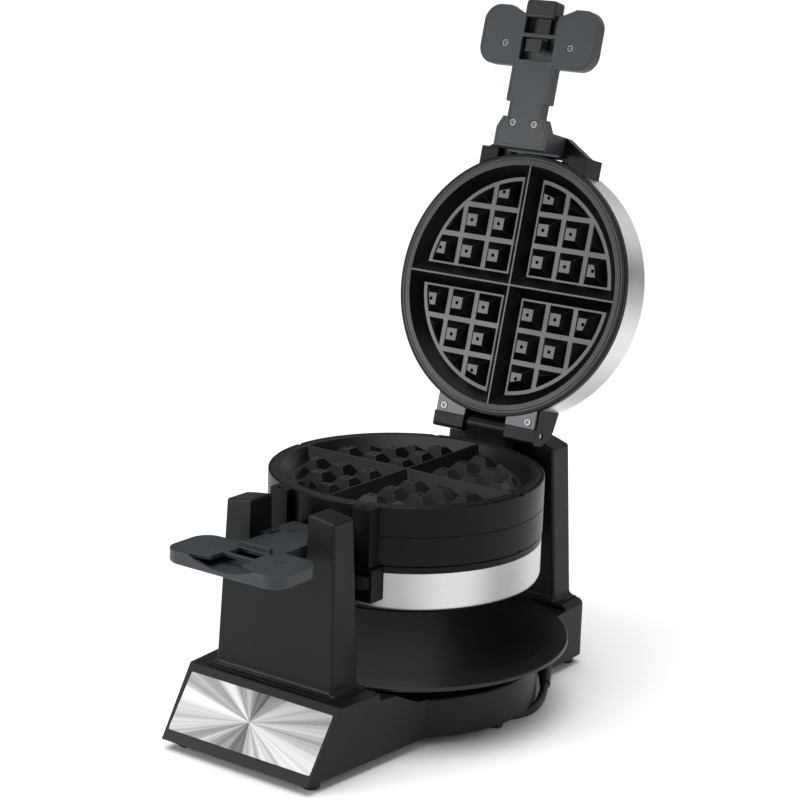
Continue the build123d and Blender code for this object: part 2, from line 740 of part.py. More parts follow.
# ---------------------------------------------------------------- lids, drawn closed
def make_lid_shells():
    """Black ring, steel cover, plate, element and reflector pan of one lid."""
    with BuildPart() as lid_ring:
        with BuildSketch(Plane.XY.offset(LID_Z)):
            Circle(LID_R)
        extrude(amount=BAND_HEIGHT)
        chamfer(lid_ring.edges().sort_by(Axis.Z)[0], 0.6)
        with BuildSketch(Plane.XY.offset(LID_Z + BAND_HEIGHT)):
            Circle(LID_R - 1.1)
        extrude(amount=9.5)
        with BuildSketch(Plane.XY.offset(LID_Z)):
            Circle(PLATE_R + 0.2)
        extrude(amount=PLATE_THICKNESS + 0.1, mode=Mode.SUBTRACT)
        with BuildSketch(Plane.XY.offset(LID_Z)):
            Circle(95)
        extrude(amount=20, mode=Mode.SUBTRACT)
    save_lid_piece(lid_ring.part, "lid_ring")

    cover_z = LID_Z + BAND_HEIGHT + 0.2
    cover_height = LID_HEIGHT - BAND_HEIGHT - 0.2
    with BuildPart() as lid_cover:
        with BuildSketch(Plane.XY.offset(cover_z)):
            Circle(LID_R)
        extrude(amount=cover_height)
        fillet(lid_cover.edges().sort_by(Axis.Z)[-1], 6.0)
        offset(amount=-0.9, openings=lid_cover.faces().sort_by(Axis.Z)[0])
    save_lid_piece(lid_cover.part, "lid_cover")

    facing_down = Pos(0, 0, LID_Z) * Rot(0, 180, 0)
    save_lid_piece(facing_down * waffle_plate(), "grid_plate")
    save_lid_piece(heater_ring(LID_Z + PLATE_THICKNESS + 3.6), "heater")

    pan_z = LID_Z + PLATE_THICKNESS + 8.5
    with BuildPart() as heat_shield:
        with BuildSketch(Plane.XY.offset(pan_z)):
            Circle(88)
        extrude(amount=6)
        fillet(heat_shield.edges().sort_by(Axis.Z)[-1], 3)
        offset(amount=-0.8, openings=heat_shield.faces().sort_by(Axis.Z)[0])
    save_lid_piece(heat_shield.part, "heat_shield")


def make_lid_hinge():
    """Rear bracket of one lid, its screwed plate, and the screws."""
    half = 48.0
    with BuildPart() as hinge_bracket:
        with BuildSketch(Plane.YZ.offset(-half)):
            with BuildLine():
                Polyline(
                    (90, LID_Z),
                    (HINGE_Y + KNUCKLE_R, LID_Z),
                    (HINGE_Y + KNUCKLE_R, HINGE_Z + 3),
                    (HINGE_Y - 4.0, HINGE_Z + 16.5),
                    (HINGE_Y - 19.0, HINGE_Z + 20.0),
                    (90, HINGE_Z + 20.0),
                    close=True,
                )
            make_face()
        extrude(amount=2 * half)
        long_edges = hinge_bracket.edges().filter_by(Axis.X)
        fillet(long_edges.filter_by(lambda edge: edge.center().Y > HINGE_Y - 5), 3.0)
        # fits round the lid's side
        with BuildSketch(Plane.XY.offset(LID_Z - 1)):
            Circle(LID_R + 0.05)
        extrude(amount=60, mode=Mode.SUBTRACT)
        # gap for the fixed knuckle, and the seat of the thin plate
        gap = 19.6
        box_between((-gap, HINGE_Y - 12, LID_Z - 1), (gap, HINGE_Y + 12, HINGE_Z + 12), Mode.SUBTRACT)
        box_between((-half - 1, 80, LID_Z - 1), (half + 1, HINGE_Y - 4.4, LID_Z + 2.0), Mode.SUBTRACT)
        with BuildSketch(Plane.YZ.offset(-half - 1)):
            with Locations((HINGE_Y, HINGE_Z)):
                Circle(PIN_R + RUNNING)
        extrude(amount=2 * half + 2, mode=Mode.SUBTRACT)
        for side in (-1, 1):
            with Locations((side * 40, HINGE_SCREW_Y, LID_Z + 2.0)):
                Cylinder(1.5, 12, align=(Align.CENTER, Align.CENTER, Align.MIN), mode=Mode.SUBTRACT)
    save_lid_piece(hinge_bracket.part, "hinge_bracket")

    with BuildPart() as hinge_plate:
        with BuildSketch(Plane.XY.offset(LID_Z)):
            with Locations((0, 99)):
                Rectangle(93, 19)
            Circle(LID_R + 0.05, mode=Mode.SUBTRACT)
            with Locations((0, HINGE_Y)):
                Rectangle(39.2, 20, mode=Mode.SUBTRACT)
        extrude(amount=1.9)
        for side in (-1, 1):
            with Locations(Plane.XY.offset(LID_Z) * Pos(side * 40, HINGE_SCREW_Y, 0) * Rot(180, 0, 0)):
                CounterBoreHole(radius=1.6, counter_bore_radius=3.4, counter_bore_depth=1.0)
    save_lid_piece(hinge_plate.part, "hinge_plate")

    screw_spots = [(-40, HINGE_SCREW_Y), (40, HINGE_SCREW_Y)]
    save_lid_piece(cross_screws(screw_spots, LID_Z + 1.0, 9.0), "hinge_screws")


def cross_screws(spots, z, length):
    """Cross-head screws driven upwards, with the underside of every head at z."""
    with BuildPart() as screws:
        for x, y in spots:
            with BuildSketch(Plane.XY.offset(z)):
                with Locations((x, y)):
                    Circle(3.0)
            extrude(amount=-1.5)
            with BuildSketch(Plane.XY.offset(z - 1.5)):
                with Locations((x, y)):
                    Rectangle(3.6, 0.8, rotation=20)
                    Rectangle(0.8, 3.6, rotation=20)
            extrude(amount=1.0, mode=Mode.SUBTRACT)
            with BuildSketch(Plane.XY.offset(z)):
                with Locations((x, y)):
                    Circle(1.4)
            extrude(amount=length)
    return screws.part


def make_lid_front():
    """Front lugs of one lid, with the arms that carry the handle."""
    with BuildPart() as front_bracket:
        for side in (-1, 1):
            inner = side * (FLARE_HALF + 0.1)
            with BuildSketch(Plane.XY.offset(LID_Z + 0.4)):
                Polygon(
                    (side * 33, -107),
                    (side * 49, -107),
                    (side * 49, -86),
                    (side * 33, -86),
                    align=None,
                )
            extrude(amount=24.6)
            with BuildSketch(Plane.XY.offset(LID_Z + 6)):
                Polygon(
                    (inner, FLARE_Y),
                    (side * 47, -107),
                    (side * 47, -90),
                    (inner, -90),
                    align=None,
                )
            extrude(amount=9)
        with BuildSketch(Plane.XY.offset(LID_Z - 1)):
            Circle(LID_R + 0.05)
        extrude(amount=60, mode=Mode.SUBTRACT)
    save_lid_piece(front_bracket.part, "front_bracket")


# ---------------------------------------------------------------- handle halves
def handle_outline(inset, with_notch=True):
    """T-shaped plan of the handle in the running sketch."""
    depth = HANDLE_BACK_Y - HANDLE_FRONT_Y
    with Locations((0, (HANDLE_FRONT_Y + HANDLE_BACK_Y) / 2)):
        bar = Rectangle(2 * (HANDLE_HALF - inset), depth - 2 * inset)
    fillet(bar.vertices(), 14.0 - inset)
    if with_notch:
        dip, half_chord = 8.0, 30.0
        notch_r = (half_chord**2 + dip**2) / (2 * dip)
        with Locations((0, HANDLE_FRONT_Y + dip - notch_r)):
            Circle(notch_r + inset, mode=Mode.SUBTRACT)
    right = [
        (NECK_HALF - inset, HANDLE_BACK_Y - inset - 6),
        (NECK_HALF - inset, JOURNAL_Y[0] - inset),
        (JOURNAL_HALF - inset, JOURNAL_Y[0] - inset),
        (JOURNAL_HALF - inset, JOURNAL_Y[1] + inset),
        (NECK_HALF - inset, JOURNAL_Y[1] + inset),
        (FLARE_HALF - inset, FLARE_Y + inset),
        (FLARE_HALF - inset, NECK_END_Y - inset),
    ]
    left = [(-x, y) for x, y in reversed(right)]
    Polygon(*right, *left, align=None)


SCOOP_HALF = 30.0           # half width and depth of the dip in the lower half's front wall
SCOOP_DEPTH = 6.4
HANDLE_SCREWS = [(-30, -187), (30, -187), (-9.8, -125.5), (9.8, -125.5)]


def make_handle(name, is_upper):
    """One handle half, drawn above the parting plane of the closed handle."""
    place = OPEN_LID if is_upper else LOWER_LID
    low = FLIP_Z + PARTING
    window = (15.0, -193.0, -175.0) if is_upper else (12.0, -193.0, -179.4)

    with BuildPart() as shell:
        with BuildSketch(Plane.XY.offset(low)):
            handle_outline(0.0, is_upper)
        extrude(amount=SHELL_DEPTH)
        fillet(shell.faces().sort_by(Axis.Z)[-1].outer_wire().edges(), 2.4)
        # the riser goes up from the neck to the lid's front
        riser_top = LID_Z + 24
        box_between((-FLARE_HALF, FLARE_Y, low), (FLARE_HALF, NECK_END_Y, LID_Z + 1))
        with BuildSketch(Plane.YZ.offset(-FLARE_HALF)):
            with BuildLine():
                Polyline(
                    (FLARE_Y, LID_Z),
                    (-104.6, LID_Z),
                    (-104.6, riser_top),
                    (-110, riser_top),
                    (FLARE_Y, LID_Z + 14),
                    close=True,
                )
            make_face()
        extrude(amount=2 * FLARE_HALF)
        # hollow, with a seat for the inner plate
        with BuildSketch(Plane.XY.offset(low)):
            handle_outline(INNER_INSET, is_upper)
        extrude(amount=INNER_THICKNESS + 0.1, mode=Mode.SUBTRACT)
        with BuildSketch(Plane.XY.offset(low)):
            handle_outline(INNER_INSET + 1.2, is_upper)
        extrude(amount=SHELL_DEPTH - 2.2, mode=Mode.SUBTRACT)
        box_between(
            (-FLARE_HALF + 4, FLARE_Y + 3.4, low), (FLARE_HALF - 4, NECK_END_Y - 3, riser_top - 8),
            Mode.SUBTRACT,
        )
        with BuildSketch(Plane.XY.offset(LID_Z - 1)):
            Circle(LID_R + 0.05)
        extrude(amount=60, mode=Mode.SUBTRACT)
        # screw posts
        for x, y in HANDLE_SCREWS:
            with BuildSketch(Plane.XY.offset(low + INNER_THICKNESS + 0.1)):
                with Locations((x, y)):
                    Circle(4.2)
                    Circle(1.5, mode=Mode.SUBTRACT)
            extrude(amount=SHELL_DEPTH - INNER_THICKNESS - 1.2)
        if is_upper:
            # mouth for the latch button
            mouth_y = HANDLE_FRONT_Y + 21.0
            box_between(
                (-14.6, HANDLE_FRONT_Y - 2, low - 1), (14.6, mouth_y, low + 8.4), Mode.SUBTRACT
            )
        else:
            # the front wall dips in the middle, where a thumb reaches the button
            scoop_r = (SCOOP_HALF**2 + SCOOP_DEPTH**2) / (2 * SCOOP_DEPTH)
            with BuildSketch(Plane.XZ.offset(-HANDLE_FRONT_Y + 2)):
                with Locations((0, low + SCOOP_DEPTH - scoop_r)):
                    Circle(scoop_r)
            extrude(amount=-8, mode=Mode.SUBTRACT)
    save(shell.part, f"{name}_handle_shell", place)

    with BuildPart() as inner:
        with BuildSketch(Plane.XY.offset(low)):
            handle_outline(INNER_INSET + 0.1)
            half, front, back = window
            with Locations((0, (front + back) / 2)):
                Rectangle(2 * half, back - front, mode=Mode.SUBTRACT)
            with Locations((0, HANDLE_FRONT_Y + 9)):
                Rectangle(29.2, 24, mode=Mode.SUBTRACT)
        extrude(amount=INNER_THICKNESS)
        if not is_upper:
            # catch rib that enters the upper half's window
            box_between((-14, -179.2, low - 4.0), (14, -176.2, low + 0.5))
        for x, y in HANDLE_SCREWS:
            with Locations(Plane.XY.offset(low) * Pos(x, y, 0) * Rot(180, 0, 0)):
                CounterBoreHole(radius=1.6, counter_bore_radius=3.4, counter_bore_depth=1.8)
    save(inner.part, f"{name}_handle_plate", place)

    save(cross_screws(HANDLE_SCREWS, low + 1.7, 5.9), f"{name}_handle_screws", place)


def make_latch():
    """Button and hook in one slider, which moves towards the lid to lock the handle."""
    low = FLIP_Z + PARTING
    with BuildPart() as latch_button:
        # the tip reaches into the dip of the lower half's front wall
        with BuildSketch(Plane.XY.offset(low - 4.4)):
            with Locations((0, HANDLE_FRONT_Y + 2.0)):
                RectangleRounded(27.6, 14.0, 3.0)
        extrude(amount=12.0)
        fillet(latch_button.faces().sort_by(Axis.Z)[0].edges(), 1.5)
        # stem back to the hook
        box_between((-6, HANDLE_FRONT_Y + 8, low + 4.6), (6, HOOK_BACK_Y, low + 7.0))
        box_between((-7, HOOK_BACK_Y - 6.6, low - 5.6), (7, HOOK_BACK_Y, low + 7.0))
        box_between((-7, HOOK_BACK_Y - 1, low - 5.6), (7, HOOK_BACK_Y + 3, low - 3.6))
    save(latch_button.part, "latch_button", OPEN_LID)


# ---------------------------------------------------------------- wiring and cord
def arc_radii(points):
    """Radius of the arc at each corner of a route, which keeps nearly all of the shorter run."""
    radii = []
    for before, here, after in zip(points, points[1:], points[2:]):
        first = Vector(*here) - Vector(*before)
        second = Vector(*after) - Vector(*here)
        half_turn = radians(first.get_angle(second)) / 2
        radii.append(0.45 * min(first.length, second.length) / tan(half_turn))
    return radii


def tube_along(points, radius, name):
    """Round tube along straight runs joined by tangent arcs."""
    radii = arc_radii(points)
    print(name, "arc radii", [round(value, 1) for value in radii])
    with BuildPart() as tube:
        with BuildLine() as route:
            FilletPolyline(*points, radius=radii)
        with BuildSketch(Plane(origin=route.line @ 0, z_dir=route.line % 0)):
            Circle(radius)
        sweep(path=route.line)
    return tube.part


def make_wiring():
    """Harness through the hollow shaft, and the block that it ends on."""
    harness_route = [
        (0, 126, FLIP_Z),
        (0, 147.2, FLIP_Z),
        (0, 147.2, FLIP_Z - 24),
        (0, 146.2, 95),
        (0, 141, 58),
        (0, 130, 32),
        (0, 117.8, 20),
    ]
    save(tube_along(harness_route, 1.6, "harness"), "mains_harness")

    with BuildPart() as terminal_block:
        box_between((-16, 98, FOOT_HEIGHT + 3), (16, 116.2, FOOT_HEIGHT + 20))
        for x in (-10, 0, 10):
            with BuildSketch(Plane.XY.offset(FOOT_HEIGHT + 20)):
                with Locations((x, 108)):
                    Circle(2.6)
            extrude(amount=-7, mode=Mode.SUBTRACT)
    save(terminal_block.part, "terminal_block")
    save(cross_screws(SCREW_SPOTS, FOOT_HEIGHT + 0.4, 6.0), "cover_screws")


# the cord's route, from its sleeve to the coil and from the coil to the plug
SLEEVE = ((71.0, 98.0, 14.0), (89.5, 69.5, 10.0))
CORD_LEAD = [
    (89.5, 69.5, 10.0),
    (95.0, 58.5, 7.0),
    (99.5, 45.5, 4.2),
    (102.0, 29.0, 3.3),
    (97.0, 13.0, 3.3),
    (83.5, 1.5, 3.3),
    (62.0, -2.0, 3.3),
    (36.0, 6.0, 3.3),
    (17.0, 36.0, 3.3),
    (9.0, 82.0, 3.3),
    (8.0, 128.0, 3.3),
    (-9.0, 170.0, 3.3),
    (-9.0, 208.0, 3.3),
]
COIL_CENTRE = (-45.0, 215.0)
COIL_R = 36.0
COIL_TURNS = 3
CORD_TAIL = [
    (-19.5, 240.5, 16.6),
    (-30.0, 251.0, 15.5),
    (-43.0, 259.0, 12.0),
    (-58.0, 263.0, 10.0),
]


def make_cord():
    """Mains cord with its sleeve, coil and plug, all lying on the floor behind the object."""
    start = Vector(*SLEEVE[0])
    end = Vector(*SLEEVE[1])
    along = (end - start).normalized()
    with BuildPart() as strain_relief:
        with BuildSketch(Plane(origin=start, z_dir=along)):
            Circle(6.0)
        with BuildSketch(Plane(origin=end, z_dir=along)):
            Circle(4.2)
        loft()
        # it starts on the rear block's side and keeps off the drum
        box_between((0, 60, 0), (REAR_HALF + 0.05, 120, 30), Mode.SUBTRACT)
        with BuildSketch(Plane.XY):
            Circle(DRUM_R + 0.4)
        extrude(amount=30, mode=Mode.SUBTRACT)
    save(strain_relief.part, "strain_relief")

    lead = tube_along(CORD_LEAD, CORD_R, "cord lead")
    tail = tube_along(CORD_TAIL, CORD_R, "cord tail")
    with BuildPart() as power_cord:
        add(lead)
        add(tail)
    save(power_cord.part, "power_cord")

    coil_height = 2 * CORD_R * COIL_TURNS + 0.3
    with BuildPart() as cord_coil:
        with BuildSketch(Plane.XY.offset(0.05)):
            with Locations(COIL_CENTRE):
                Circle(COIL_R + CORD_R)
                Circle(COIL_R - CORD_R, mode=Mode.SUBTRACT)
        extrude(amount=coil_height)
        fillet(cord_coil.edges(), 2.6)
    save(cord_coil.part, "cord_coil")

    mouth = Vector(*CORD_TAIL[-1])
    heading = Vector(-15, 4, 0).normalized()
    with BuildPart() as power_plug:
        with BuildSketch(Plane(origin=mouth + heading * 0.05, x_dir=(0, 0, 1), z_dir=heading)):
            Circle(4.0)
        with BuildSketch(Plane(origin=mouth + heading * 20, x_dir=(0, 0, 1), z_dir=heading)):
            Circle(6.5)
        loft()
        with BuildSketch(Plane(origin=mouth + heading * 19.5, x_dir=(0, 0, 1), z_dir=heading)):
            RectangleRounded(19.0, 25.0, 5.0)
        extrude(amount=22)
        front = mouth + heading * 41.5
        for side in (-1, 1):
            with BuildSketch(Plane(origin=front, x_dir=(0, 0, 1), z_dir=heading)):
                with Locations((0, side * 6.35)):
                    Rectangle(6.3, 1.5)
            extrude(amount=17)
    save(power_plug.part, "power_plug")


# ---------------------------------------------------------------- build
make_base()
make_fork()
make_rear_tower()
make_flip_shaft()
make_tray()
make_middle()
make_lid_shells()
make_lid_hinge()
make_lid_front()
make_handle("upper", True)
make_handle("lower", False)
make_latch()
make_wiring()
make_cord()
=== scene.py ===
"""Looks of the rotating waffle maker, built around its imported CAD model."""
import math

import bpy
from mathutils import Matrix, Vector


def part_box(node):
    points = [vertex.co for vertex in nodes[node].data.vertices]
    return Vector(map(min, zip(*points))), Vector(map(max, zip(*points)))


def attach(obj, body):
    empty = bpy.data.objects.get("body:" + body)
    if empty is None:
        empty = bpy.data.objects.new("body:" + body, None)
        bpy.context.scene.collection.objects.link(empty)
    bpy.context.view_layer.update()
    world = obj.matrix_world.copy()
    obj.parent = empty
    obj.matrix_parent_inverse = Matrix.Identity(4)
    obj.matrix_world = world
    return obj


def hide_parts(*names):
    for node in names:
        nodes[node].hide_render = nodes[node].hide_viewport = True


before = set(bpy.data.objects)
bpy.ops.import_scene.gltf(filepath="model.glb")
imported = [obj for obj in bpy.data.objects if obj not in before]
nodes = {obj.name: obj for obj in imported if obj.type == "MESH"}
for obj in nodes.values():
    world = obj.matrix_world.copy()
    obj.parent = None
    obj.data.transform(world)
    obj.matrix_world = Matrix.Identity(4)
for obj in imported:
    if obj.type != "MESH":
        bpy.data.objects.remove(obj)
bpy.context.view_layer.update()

SHIFT_Y = 0.0133            # the head's centre in the stored frame
FLIP_Z = 0.1605             # height of the axis that the head turns about
HEAD = Vector((0.0, SHIFT_Y, FLIP_Z))
HINGE = Vector((0.0, 0.1263, 0.1937))   # the upper lid's pin
OPEN_ANGLE = math.radians(-104.5)       # the upper lid, from closed to its rest pose
PANEL_LEAN = math.radians(34.6)         # the steel front plate, back from upright

# camera: which way it looks, how far off it stands, and where its middle ray passes the head
CAMERA_TURN = math.radians(35.89)
CAMERA_RISE = math.radians(14.13)
CAMERA_ROLL = math.radians(1.83)
CAMERA_DISTANCE = 1.71672
CAMERA_LENS = 101.307
CAMERA_AIM = Vector((0.0, SHIFT_Y, 0.150))
AIM_LEFT, AIM_UP = 0.00669, 0.08309

# cord: the coil's middle, and its winding
CORD_RADIUS = 0.00325
COIL_CENTRE = Vector((-0.045, 0.215 + SHIFT_Y, 0.0))
COIL_RADIUS = 0.036 * 1.012     # a little wide, as the smooth curve cuts inside its points
COIL_WOBBLE = 0.0005
COIL_LIE = 0.0033               # height of the lowest turn's middle
COIL_TURNS, COIL_LAST_PART = 3, 0.125
COIL_PITCH = 0.0066
POINTS_PER_TURN = 16


# ---------------------------------------------------------------- camera and light
def add_camera():
    """Camera 36 degrees round to the object's right and 14 degrees up, with a small roll."""
    turn, rise, roll = CAMERA_TURN, CAMERA_RISE, CAMERA_ROLL
    forward = Vector((-math.sin(turn) * math.cos(rise), math.cos(turn) * math.cos(rise),
                      -math.sin(rise)))
    right = Vector((math.cos(turn), math.sin(turn), 0.0))
    up = right.cross(forward)
    target = CAMERA_AIM - right * AIM_LEFT + up * AIM_UP
    rolled_right = right * math.cos(roll) + up * math.sin(roll)
    rolled_up = up * math.cos(roll) - right * math.sin(roll)
    data = bpy.data.cameras.new("camera")
    data.sensor_width = 36.0
    data.lens = CAMERA_LENS
    data.clip_end = 50.0
    camera = bpy.data.objects.new("camera", data)
    bpy.context.scene.collection.objects.link(camera)
    spin = Matrix((rolled_right, rolled_up, -forward)).transposed()
    camera.matrix_world = Matrix.Translation(target - forward * CAMERA_DISTANCE) @ spin.to_4x4()
    bpy.context.scene.camera = camera


def add_area_light(name, place, aim, size, power):
    """A white rectangular soft box at place, pointed at aim."""
    data = bpy.data.lights.new(name, "AREA")
    data.shape = "RECTANGLE"
    data.size, data.size_y = size
    data.energy = power
    light = bpy.data.objects.new(name, data)
    bpy.context.scene.collection.objects.link(light)
    light.location = place
    light.rotation_euler = (Vector(aim) - Vector(place)).to_track_quat("-Z", "Y").to_euler()


def add_studio():
    """White floor under a broad overhead light, a dim surround and three soft boxes."""
    world = bpy.data.worlds.new("studio")
    world.use_nodes = True
    background = world.node_tree.nodes["Background"]
    background.inputs["Color"].default_value = (1.0, 1.0, 1.0, 1.0)
    background.inputs["Strength"].default_value = 0.18
    bpy.context.scene.world = world
    bpy.context.scene.view_settings.view_transform = "Standard"

    overhead = bpy.data.lights.new("overhead", "SUN")
    overhead.energy = 3.3
    overhead.angle = math.radians(65)
    sun = bpy.data.objects.new("overhead", overhead)
    sun.rotation_euler = (math.radians(8), math.radians(-6), 0.0)
    bpy.context.scene.collection.objects.link(sun)
    add_area_light("key", (-1.14, -1.50, 0.66), (0.0, 0.20, 0.32), (1.0, 0.62), 18)
    add_area_light("backdrop", (0.6, 3.4, 1.35), (0.0, 0.0, 0.4), (4.2, 1.5), 14)
    add_area_light("side", (1.70, 0.10, 0.80), (0.0, 0.05, 0.15), (0.5, 1.3), 7)

    bpy.ops.mesh.primitive_grid_add(size=16.0, x_subdivisions=8, y_subdivisions=8)
    floor = bpy.context.object
    floor.name = "studio_floor"
    floor.data.materials.append(floor_material())


# ---------------------------------------------------------------- node helpers
class Graph:
    """Short way to write a material's nodes. Each method adds nodes and returns their output."""

    def __init__(self, name):
        self.material = bpy.data.materials.new(name)
        self.material.use_nodes = True
        self.tree = self.material.node_tree
        self.shader = self.tree.nodes["Principled BSDF"]
        coordinates = self.tree.nodes.new("ShaderNodeTexCoord")
        self.object = coordinates.outputs["Object"]
        self.normal = coordinates.outputs["Normal"]

    def add(self, kind, **settings):
        node = self.tree.nodes.new(kind)
        for key, value in settings.items():
            setattr(node, key, value)
        return node

    def link(self, output, target):
        self.tree.links.new(output, target)

    def feed(self, socket, value):
        """Links an output, or sets a plain number or colour."""
        if isinstance(value, bpy.types.NodeSocket):
            self.link(value, socket)
        else:
            socket.default_value = value

    def noise(self, scale, detail=3.0, vector=None, roughness=0.5):
        """Cloudy pattern, 0 to 1, with scale features to the metre."""
        node = self.add("ShaderNodeTexNoise")
        node.inputs["Scale"].default_value = scale
        node.inputs["Detail"].default_value = detail
        node.inputs["Roughness"].default_value = roughness
        self.link(self.object if vector is None else vector, node.inputs["Vector"])
        return node.outputs["Fac"]

    def voronoi(self, scale):
        """Pattern of rounded cells, for a spark-eroded grain."""
        node = self.add("ShaderNodeTexVoronoi")
        node.inputs["Scale"].default_value = scale
        self.link(self.object, node.inputs["Vector"])
        return node.outputs["Distance"]

    def math(self, operation, a, b=0.0):
        node = self.add("ShaderNodeMath", operation=operation)
        self.feed(node.inputs[0], a)
        self.feed(node.inputs[1], b)
        return node.outputs[0]

    def span(self, value, low, high, to_low=0.0, to_high=1.0):
        """Maps low..high to to_low..to_high and holds it there."""
        node = self.add("ShaderNodeMapRange")
        self.feed(node.inputs["Value"], value)
        node.inputs["From Min"].default_value = low
        node.inputs["From Max"].default_value = high
        node.inputs["To Min"].default_value = to_low
        node.inputs["To Max"].default_value = to_high
        return node.outputs["Result"]

    def mix(self, share, first, second):
        """Colour that goes from first to second as share goes from 0 to 1."""
        node = self.add("ShaderNodeMix", data_type="RGBA")
        self.feed(node.inputs["Factor"], share)
        self.feed(node.inputs[6], first)
        self.feed(node.inputs[7], second)
        return node.outputs[2]

    def vector_math(self, operation, a, b=(0.0, 0.0, 0.0)):
        node = self.add("ShaderNodeVectorMath", operation=operation)
        self.feed(node.inputs[0], a)
        self.feed(node.inputs[1], b)
        return node.outputs["Value" if operation in ("DOT_PRODUCT", "LENGTH") else "Vector"]

    def combine(self, *parts):
        """Vector made of up to three outputs."""
        node = self.add("ShaderNodeCombineXYZ")
        for part, socket in zip(parts, node.inputs):
            self.link(part, socket)
        return node.outputs[0]

    def drifted(self, vector, share):
        """The vector plus a small share of the place, so that brushed lines wander a little."""
        drift = self.vector_math("SCALE", self.object)
        drift.node.inputs["Scale"].default_value = share
        return self.vector_math("ADD", vector, drift)

    def angle_about(self, offset, axis):
        """Angle of the offset round the axis, from the x direction."""
        side = (1.0, 0.0, 0.0)
        rise = tuple(Vector(axis).cross(Vector(side)).normalized())
        return self.math("ARCTAN2", self.vector_math("DOT_PRODUCT", offset, rise),
                         self.vector_math("DOT_PRODUCT", offset, side))

    def brush_round(self, offset, axis):
        """Stretches highlights across brushed lines that run round the axis."""
        tangent = self.vector_math("NORMALIZE", self.vector_math("CROSS_PRODUCT", offset, tuple(axis)))
        self.link(tangent, self.shader.inputs["Tangent"])

    def bump(self, height, strength, distance, before=None):
        node = self.add("ShaderNodeBump")
        node.inputs["Strength"].default_value = strength
        node.inputs["Distance"].default_value = distance
        self.link(height, node.inputs["Height"])
        if before is not None:
            self.link(before, node.inputs["Normal"])
        return node.outputs["Normal"]

    def edges(self, radius):
        """1 on rounded edges, 0 on flat faces; it masks the painted edge highlights."""
        bevel = self.add("ShaderNodeBevel", samples=4)
        bevel.inputs["Radius"].default_value = radius
        geometry = self.add("ShaderNodeNewGeometry")
        dot = self.vector_math("DOT_PRODUCT", bevel.outputs["Normal"], geometry.outputs["Normal"])
        return self.span(dot, 0.88, 0.985, 1.0, 0.0)

    def soft_edges(self, radius):
        """Normal that rounds sharp CAD edges by radius."""
        bevel = self.add("ShaderNodeBevel", samples=6)
        bevel.inputs["Radius"].default_value = radius
        return bevel.outputs["Normal"]

    def finish(self, colour, roughness, normal, metallic=0.0, **plain):
        """Feeds the shader and returns the material; plain sets its other inputs by name."""
        self.feed(self.shader.inputs["Base Color"], colour)
        self.feed(self.shader.inputs["Roughness"], roughness)
        self.shader.inputs["Metallic"].default_value = metallic
        self.link(normal, self.shader.inputs["Normal"])
        for key, value in plain.items():
            self.shader.inputs[key.replace("_", " ")].default_value = value
        return self.material


def scaled(tone, factor):
    """Opaque colour: the tone times the factor."""
    return tuple(part * factor for part in tone) + (1,)


def floor_material():
    """Matt white paint for the studio's floor."""
    g = Graph("studio_floor_paint")
    cloudy = g.noise(1.5, 4.0)
    colour = g.mix(cloudy, (0.90, 0.90, 0.90, 1), (0.93, 0.93, 0.93, 1))
    return g.finish(colour, 0.75, g.bump(g.noise(220.0), 0.03, 0.0004))


def moulded_plastic(name, tone, rough, shine=0.26):
    """Black moulded plastic: fine spark-eroded grain, faint flow clouds, slightly paler edges painted
    in as a highlight.
    """
    g = Graph(name)
    flow = g.noise(9.0, 5.0)
    speck = g.noise(2600.0, 2.0)
    dust = g.span(g.noise(420.0, 3.0), 0.62, 0.80)
    dust_and_highlight_tone = scaled(tone, 2.1)
    colour = g.mix(g.span(flow, 0.3, 0.7), scaled(tone, 0.86), scaled(tone, 1.20))
    colour = g.mix(g.math("MULTIPLY", dust, 0.25), colour, dust_and_highlight_tone)
    # painted highlight: rounded edges are made paler, standing in for light caught on them
    colour = g.mix(g.math("MULTIPLY", g.edges(0.0011), 0.35), colour, dust_and_highlight_tone)
    roughness = g.span(flow, 0.25, 0.75, rough - 0.045, rough + 0.045)
    roughness = g.math("ADD", roughness, g.math("MULTIPLY", speck, 0.05))
    normal = g.bump(g.voronoi(1500.0), 0.10, 0.00006, g.soft_edges(0.0007))
    normal = g.bump(g.noise(28.0, 2.0), 0.06, 0.0006, normal)
    return g.finish(colour, roughness, normal, Specular_IOR_Level=shine)


def brushed_ring(name, centre, axis, tone):
    """Brushed stainless steel with its lines running round an axis, and painted reflection bands round
    its side.
    """
    g = Graph(name)
    offset = g.vector_math("SUBTRACT", g.object, tuple(centre))
    along = g.vector_math("DOT_PRODUCT", offset, tuple(axis))
    across = g.vector_math("LENGTH", g.vector_math("CROSS_PRODUCT", offset, tuple(axis)))
    lines = g.drifted(g.combine(along, across), 0.012)
    fine = g.noise(5200.0, 3.0, lines, 0.65)
    broad = g.noise(900.0, 2.0, lines)
    cloud = g.noise(11.0, 3.0)
    darker = scaled(tone, 0.84)
    colour = g.mix(g.span(fine, 0.3, 0.7), darker, (*tone, 1))
    colour = g.mix(g.math("MULTIPLY", g.span(cloud, 0.4, 0.75), 0.18), colour, darker)
    # painted reflection: broad paler and darker bands round the side stand in for the streaks of light
    # on brushed steel
    turned = g.math("MULTIPLY", g.angle_about(offset, axis), 7.0)
    painted_reflection_lobes = g.math("SINE", g.math("ADD", turned, 2.6))
    painted_reflection_bands = g.math("MULTIPLY", g.span(painted_reflection_lobes, -0.9, 0.9), g.span(cloud, 0.25, 0.6, 0.55, 1.0))
    # painted shade: the darker side of the painted reflection bands
    shade = (tone[0] * 0.42, tone[1] * 0.42, tone[2] * 0.43, 1)
    colour = g.mix(g.math("MULTIPLY", painted_reflection_bands, 0.85), colour, shade)
    roughness = g.math("ADD", g.span(fine, 0.25, 0.75, 0.22, 0.34), g.math("MULTIPLY", broad, 0.06))
    normal = g.bump(fine, 0.10, 0.00004, g.soft_edges(0.0004))
    g.brush_round(offset, axis)
    return g.finish(colour, roughness, normal, metallic=1.0, Anisotropic=0.72)


